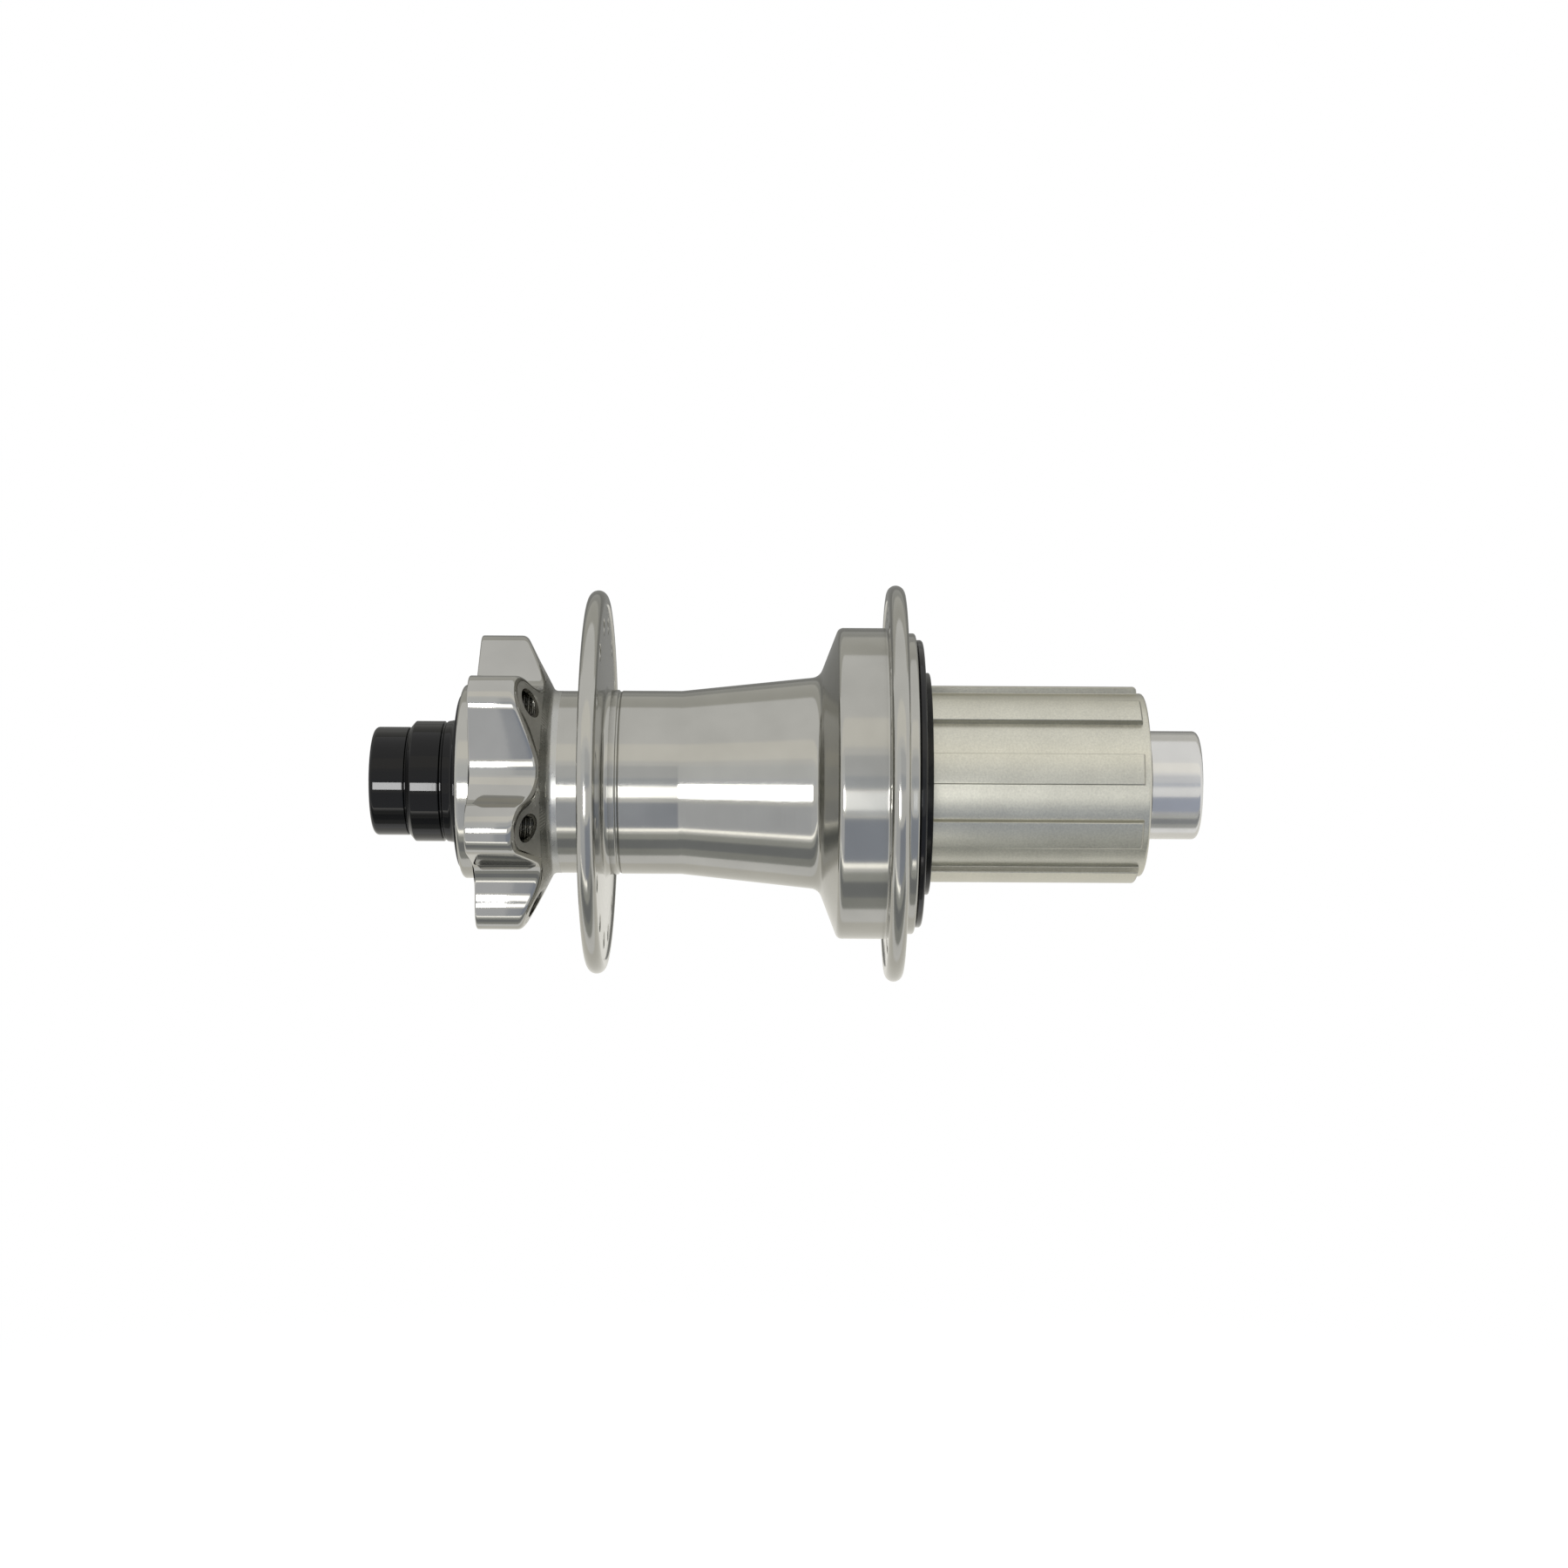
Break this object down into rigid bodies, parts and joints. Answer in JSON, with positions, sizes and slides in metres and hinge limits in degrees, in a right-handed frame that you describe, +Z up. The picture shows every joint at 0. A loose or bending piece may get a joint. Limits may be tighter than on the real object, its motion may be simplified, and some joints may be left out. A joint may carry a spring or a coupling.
{
  "type": "bicycle rear disc hub",
  "caption": "Rear bicycle hub with two spoke flanges, a six-bolt disc seat, a pawl freehub with cassette splines and cartridge bearings for a thru axle.",
  "frame": {"origin": "on the axle line, midway between the two end faces", "axes": "+Y along the axle to the bike's left, the disc side; +Z up; +X forwards"},
  "size_m": [0.0712, 0.148, 0.0712],
  "materials": {
    "shell_alloy": "turned and polished, clear anodised",
    "black_anodised": "gloss black anodised",
    "cap_silver": "polished",
    "freehub_alloy": "fine blasted, warm grey",
    "axle_alloy": "turned",
    "bearing_steel": "ground",
    "hard_steel": "hardened",
    "spring_steel": "bright",
    "cage_polymer": "moulded",
    "black_rubber": "smooth"
  },
  "bodies": {
    "axle_assembly": {"axle": "axle_alloy", "left_end_cap": "black_anodised", "right_end_cap": "cap_silver", "left_cap_oring": "black_rubber", "right_cap_oring": "black_rubber", "drive_spacer": "axle_alloy", "freehub_spacer": "axle_alloy", "left_inner_race": "bearing_steel", "drive_inner_race": "bearing_steel", "inboard_inner_race": "bearing_steel", "outboard_inner_race": "bearing_steel"},
    "hub_shell": {"hub_shell": "shell_alloy", "ratchet_ring": "hard_steel", "left_dust_seal": "black_rubber", "left_outer_race": "bearing_steel", "drive_outer_race": "bearing_steel", "left_bearing_seals": "black_rubber", "drive_bearing_seals": "black_rubber"},
    "freehub": {"freehub_body": "freehub_alloy", "drive_seal": "black_rubber", "circlip": "spring_steel", "inboard_outer_race": "bearing_steel", "outboard_outer_race": "bearing_steel", "inboard_bearing_seals": "black_rubber", "outboard_bearing_seals": "black_rubber", "pawl_spring_1": "spring_steel", "pawl_spring_2": "spring_steel", "pawl_spring_3": "spring_steel", "pawl_spring_4": "spring_steel", "pawl_spring_5": "spring_steel", "pawl_spring_6": "spring_steel"},
    "left_ball_set": {"left_balls": "bearing_steel", "left_cage": "cage_polymer"},
    "drive_ball_set": {"drive_balls": "bearing_steel", "drive_cage": "cage_polymer"},
    "inboard_ball_set": {"inboard_balls": "bearing_steel", "inboard_cage": "cage_polymer"},
    "outboard_ball_set": {"outboard_balls": "bearing_steel", "outboard_cage": "cage_polymer"},
    "pawl_1": {"pawl_1": "hard_steel"},
    "pawl_2": {"pawl_2": "hard_steel"},
    "pawl_3": {"pawl_3": "hard_steel"},
    "pawl_4": {"pawl_4": "hard_steel"},
    "pawl_5": {"pawl_5": "hard_steel"},
    "pawl_6": {"pawl_6": "hard_steel"}
  },
  "joints": [
    {"name": "shell_spin", "type": "hinge", "parent": "axle_assembly", "child": "hub_shell", "pos_m": [0, 0, 0], "axis": [0, 1, 0], "continuous": true},
    {"name": "freehub_spin", "type": "hinge", "parent": "axle_assembly", "child": "freehub", "pos_m": [0, -0.044, 0], "axis": [0, 1, 0], "continuous": true},
    {"name": "left_balls_orbit", "type": "hinge", "parent": "axle_assembly", "child": "left_ball_set", "pos_m": [0, 0.0525, 0], "axis": [0, 1, 0], "continuous": true},
    {"name": "drive_balls_orbit", "type": "hinge", "parent": "axle_assembly", "child": "drive_ball_set", "pos_m": [0, -0.0065, 0], "axis": [0, 1, 0], "continuous": true},
    {"name": "inboard_balls_orbit", "type": "hinge", "parent": "axle_assembly", "child": "inboard_ball_set", "pos_m": [0, -0.0145, 0], "axis": [0, 1, 0], "continuous": true},
    {"name": "outboard_balls_orbit", "type": "hinge", "parent": "axle_assembly", "child": "outboard_ball_set", "pos_m": [0, -0.0526, 0], "axis": [0, 1, 0], "continuous": true},
    {"name": "pawl_1_rock", "type": "hinge", "parent": "freehub", "child": "pawl_1", "pos_m": [-0.0065, -0.0159, 0.01785], "axis": [0, -1, 0], "range_deg": [0, 9.46], "stiffness_Nm_per_rad": 0.002, "springref_deg": 14.19, "deforming": ["pawl_spring_1"]},
    {"name": "pawl_2_rock", "type": "hinge", "parent": "freehub", "child": "pawl_2", "pos_m": [-0.01871, -0.0159, 0.0033], "axis": [0, -1, 0], "range_deg": [0, 9.46], "stiffness_Nm_per_rad": 0.002, "springref_deg": 14.19, "deforming": ["pawl_spring_2"]},
    {"name": "pawl_3_rock", "type": "hinge", "parent": "freehub", "child": "pawl_3", "pos_m": [-0.01221, -0.0159, -0.01455], "axis": [0, -1, 0], "range_deg": [0, 9.46], "stiffness_Nm_per_rad": 0.002, "springref_deg": 14.19, "deforming": ["pawl_spring_3"]},
    {"name": "pawl_4_rock", "type": "hinge", "parent": "freehub", "child": "pawl_4", "pos_m": [0.0065, -0.0159, -0.01785], "axis": [0, -1, 0], "range_deg": [0, 9.46], "stiffness_Nm_per_rad": 0.002, "springref_deg": 14.19, "deforming": ["pawl_spring_4"]},
    {"name": "pawl_5_rock", "type": "hinge", "parent": "freehub", "child": "pawl_5", "pos_m": [0.01871, -0.0159, -0.0033], "axis": [0, -1, 0], "range_deg": [0, 9.46], "stiffness_Nm_per_rad": 0.002, "springref_deg": 14.19, "deforming": ["pawl_spring_5"]},
    {"name": "pawl_6_rock", "type": "hinge", "parent": "freehub", "child": "pawl_6", "pos_m": [0.01221, -0.0159, 0.01455], "axis": [0, -1, 0], "range_deg": [0, 9.46], "stiffness_Nm_per_rad": 0.002, "springref_deg": 14.19, "deforming": ["pawl_spring_6"]}
  ],
  "couplings": [
    {"joint": "left_balls_orbit", "follows": "shell_spin", "ratio": 0.5745},
    {"joint": "drive_balls_orbit", "follows": "shell_spin", "ratio": 0.5745},
    {"joint": "inboard_balls_orbit", "follows": "freehub_spin", "ratio": 0.5581},
    {"joint": "outboard_balls_orbit", "follows": "freehub_spin", "ratio": 0.5581}
  ]
}
